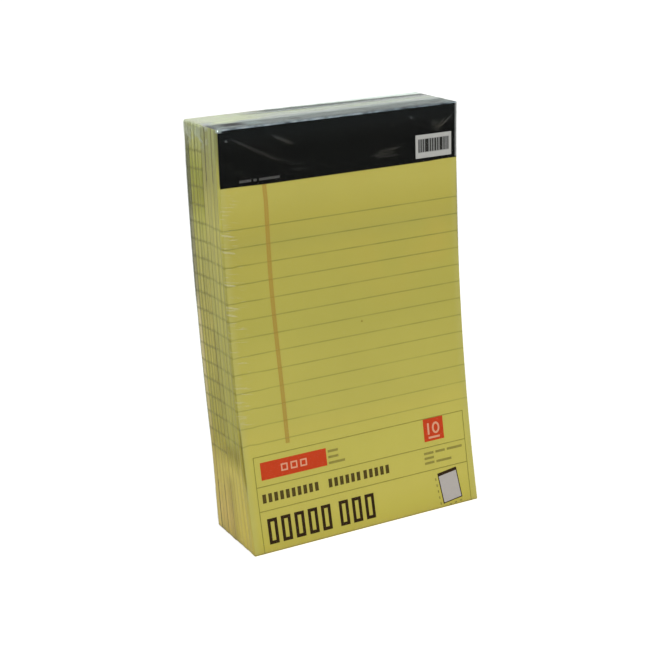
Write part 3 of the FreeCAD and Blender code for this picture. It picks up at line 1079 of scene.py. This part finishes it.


# ---------------- the pack

# Heights in millimetres and colours up the leaves' cut edges, for four stretches of pads. Besides the
# paper's own colour they hold painted light: the pale, warm stretch near the foot is a painted reflection of
# the film, and the darker band at about 40 to 46 mm is painted shade.
edge_tints = {
    "first": [
        (0, (188, 172, 80)), (8, (192, 178, 96)), (32, (188, 176, 92)), (40, (170, 158, 66)),
        (60, (172, 165, 74)), (100, (168, 163, 86)), (130, (174, 169, 90)), (160, (190, 184, 92)),
        (184, (178, 175, 92)), (198, (142, 146, 90)),
    ],
    "front": [
        (0, (199, 181, 83)), (8, (206, 189, 88)), (36, (204, 190, 95)), (41, (180, 168, 72)),
        (46, (163, 154, 54)), (52, (177, 171, 77)), (90, (180, 175, 90)), (158, (188, 183, 102)),
        (172, (176, 171, 97)), (188, (162, 162, 98)), (203, (165, 170, 114)),
    ],
    "rear": [
        (0, (191, 171, 83)), (10, (208, 184, 100)), (36, (200, 186, 92)), (46, (175, 164, 66)),
        (60, (174, 166, 74)), (110, (185, 176, 90)), (145, (184, 180, 98)), (158, (180, 178, 88)),
        (168, (158, 156, 64)), (182, (156, 158, 68)), (190, (168, 168, 91)), (203, (190, 195, 138)),
    ],
    "last": [
        (0, (209, 188, 104)), (20, (203, 184, 104)), (46, (188, 172, 88)), (60, (203, 190, 124)),
        (110, (205, 194, 144)), (120, (169, 162, 115)), (157, (165, 162, 118)), (166, (120, 120, 80)),
        (194, (124, 125, 80)), (203, (200, 204, 160)),
    ],
}


def make_pack():
    """Every pad from front to rear, then the cover and the film."""
    first_mark = stack_foot + first_rule_height
    # For each way of binding: grain, first mark, last mark and how strong the marks are.
    bound_up = (0.6, first_mark, rule_count - 1.0, 0.36)
    bound_down = (1.1, first_mark + 4 * rule_pitch, rule_count + 4.0, 0.5)
    edges = {}
    for name, tints in edge_tints.items():
        marks = bound_up if name in ("first", "front") else bound_down
        edges[name] = leaf_edges("leaf_edges_" + name, tints, *marks)
    stretches = ["first"] + ["front"] * (pads_bound_end_up - 1)
    stretches += ["rear"] * (pad_count - pads_bound_end_up - 1) + ["last"]
    board_finish = grey_chipboard()
    tape_finish = black_binding_tape()
    pattern = leaf_block()
    for number, stretch in enumerate(stretches):
        make_leaves(number, pattern, edges[stretch])
        make_board(number, board_finish)
        make_tape(number, tape_finish)
    bpy.data.objects.remove(pattern)
    make_cover(canary_cover_stock())
    make_film(clear_shrink_film())


def finish_node(node, finish):
    """Gives a node of the CAD part its material."""
    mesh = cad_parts[node].data
    mesh.materials.clear()
    mesh.materials.append(finish)


def among_bars(across, height):
    """The barred part of the white patch on the header."""
    bar_foot = header_foot + 4.0 * mm
    return product(
        between(across, 41.6 * mm, 59.0 * mm, 0.4 * mm),
        between(height, bar_foot, bar_foot + 6.6 * mm, 0.4 * mm)
    )


def white_on_header(across, height):
    """Patch ink, greyer between its bars, and the dimmer dashes on the left."""
    colour = paint(among_bars(across, height), srgb(174, 174, 170), (128, 129, 127))
    return paint(ease(across, 0.0, -10 * mm), colour, (76, 76, 74))


def black_on_header(across, height):
    """Header ink, greyer as the bars of the patch, and paler at its cut right end, where a reflection of the
    film's edge is painted.
    """
    colour = paint(among_bars(across, height), srgb(9, 10, 9), (44, 44, 42))
    # Painted reflection of the film's edge: a pale strip at the header's right end.
    cut = ease(across, half_width - 1.25 * mm, half_width - 0.65 * mm)
    return paint(cut, colour, (136, 138, 136))


def dark_on_label(_, height):
    """Dark ink, browner in the blocks of the middle row."""
    return paint(ease(height, 20.4 * mm, 20.8 * mm), srgb(50, 36, 18), (80, 68, 32))


def finish_print():
    """Inks for the printed nodes, and wire for the staples."""
    inks = {
        "header_print": ("header_black_ink", black_on_header, 0.08, 0.6),
        "header_white_print": ("patch_white_ink", white_on_header, 0.03, 0.6),
        "label_frame_print": ("label_line_ink", srgb(138, 134, 62), 0.1, 0.65),
        "label_red_print": ("signal_red_ink", srgb(192, 64, 31), 0.05, 0.6),
        "label_white_print": ("knockout_pale_ink", srgb(216, 158, 126), 0.05, 0.6),
        "label_dark_print": ("label_dark_ink", dark_on_label, 0.12, 0.6),
        "label_grey_print": ("icon_grey_ink", srgb(178, 172, 168), 0.04, 0.6),
        "label_small_print": ("small_line_ink", srgb(142, 134, 66), 0.1, 0.65),
    }
    for node, ink in inks.items():
        finish_node(node, printing_ink(*ink))
    finish_node("staples", staple_steel())


# ---------------- studio

floor_size = 12
floor_glow = 0.55
room_light = 0.56
lamp_aim = Vector((0, 0, 0.1))
lamps = {
    "key_lamp": {"place": (-1.1, -1.5, 1.6), "size": 1.2, "power": 21.0},
    "fill_lamp": {"place": (1.6, -1.2, 1.0), "size": 1.6, "power": 9.0},
}

camera_azimuth = math.radians(-27.35)
camera_elevation = math.radians(17.6)
camera_roll = math.radians(-2.14)
camera_aim = Vector((-22.4 * mm, cover_low.y, 103.8 * mm))
camera_distance = 698.3 * mm
camera_lens = 79.5


def make_floor():
    """Pale floor that shows as white to the camera and keeps the pack's shadow."""
    bpy.ops.object.select_all(action="DESELECT")
    bpy.ops.mesh.primitive_plane_add(size=floor_size)
    floor = bpy.context.object
    floor.name = "studio_floor"
    finish, tree, shader = new_finish("pale_floor")
    grain = cloud(object_place(tree), 40.0, 2.0)
    feed(shader.inputs["Base Color"], tinted(srgb(238, 238, 236), grain, 0.99, 1.01))
    shader.inputs["Roughness"].default_value = 0.9
    shader.inputs["Specular IOR Level"].default_value = 0.1
    shader.inputs["Emission Color"].default_value = (1, 1, 1, 1)
    seen = add_node(tree, "ShaderNodeLightPath")
    looked_at = calc("MAXIMUM", seen.outputs["Is Camera Ray"], seen.outputs["Is Transmission Ray"])
    feed(shader.inputs["Emission Strength"], product(looked_at, floor_glow))
    floor.data.materials.append(finish)


def make_world():
    """Even white air, dimmer as a light than as a background."""
    world = bpy.data.worlds.new("studio_air")
    world.use_nodes = True
    tree = world.node_tree
    tree.nodes.clear()
    seen = add_node(tree, "ShaderNodeLightPath")
    looked_at = calc("MAXIMUM", seen.outputs["Is Camera Ray"], seen.outputs["Is Glossy Ray"])
    looked_at = calc("MAXIMUM", looked_at, seen.outputs["Is Transmission Ray"])
    strength = ease(looked_at, 0.0, 1.0, room_light, 1.0)
    background = add_node(tree, "ShaderNodeBackground", {"Color": (1, 1, 1, 1), "Strength": strength})
    output = add_node(tree, "ShaderNodeOutputWorld")
    feed(output.inputs[0], background.outputs[0])
    bpy.context.scene.world = world


def make_lamp(name, place, size, power):
    """A square soft lamp that faces the pack."""
    lamp = bpy.data.lights.new(name, "AREA")
    lamp.shape = "SQUARE"
    lamp.size = size
    lamp.energy = power
    holder = bpy.data.objects.new(name, lamp)
    holder.location = place
    holder.rotation_euler = (lamp_aim - Vector(place)).to_track_quat("-Z", "Y").to_euler()
    bpy.context.scene.collection.objects.link(holder)


def make_camera():
    """Seen from the left of the cover and a little above, nearly level."""
    level = math.cos(camera_elevation)
    back = Vector((
        math.sin(camera_azimuth) * level, -math.cos(camera_azimuth) * level,
        math.sin(camera_elevation)
    ))
    right = Vector((0, 0, 1)).cross(back).normalized()
    up = back.cross(right)
    turned_right = math.cos(camera_roll) * right + math.sin(camera_roll) * up
    turned_up = math.cos(camera_roll) * up - math.sin(camera_roll) * right
    camera = bpy.data.cameras.new("camera")
    camera.lens = camera_lens
    camera.sensor_width = 36
    camera.clip_start = 0.01
    camera.clip_end = 50
    holder = bpy.data.objects.new("camera", camera)
    turn = Matrix((turned_right, turned_up, back)).transposed()
    place = camera_aim + back * camera_distance
    holder.matrix_world = Matrix.Translation(place) @ turn.to_4x4()
    bpy.context.scene.collection.objects.link(holder)
    bpy.context.scene.camera = holder


make_pack()
finish_print()
make_floor()
make_world()
for lamp_name, lamp in lamps.items():
    make_lamp(lamp_name, **lamp)
make_camera()

bpy.context.scene.view_settings.view_transform = "Standard"
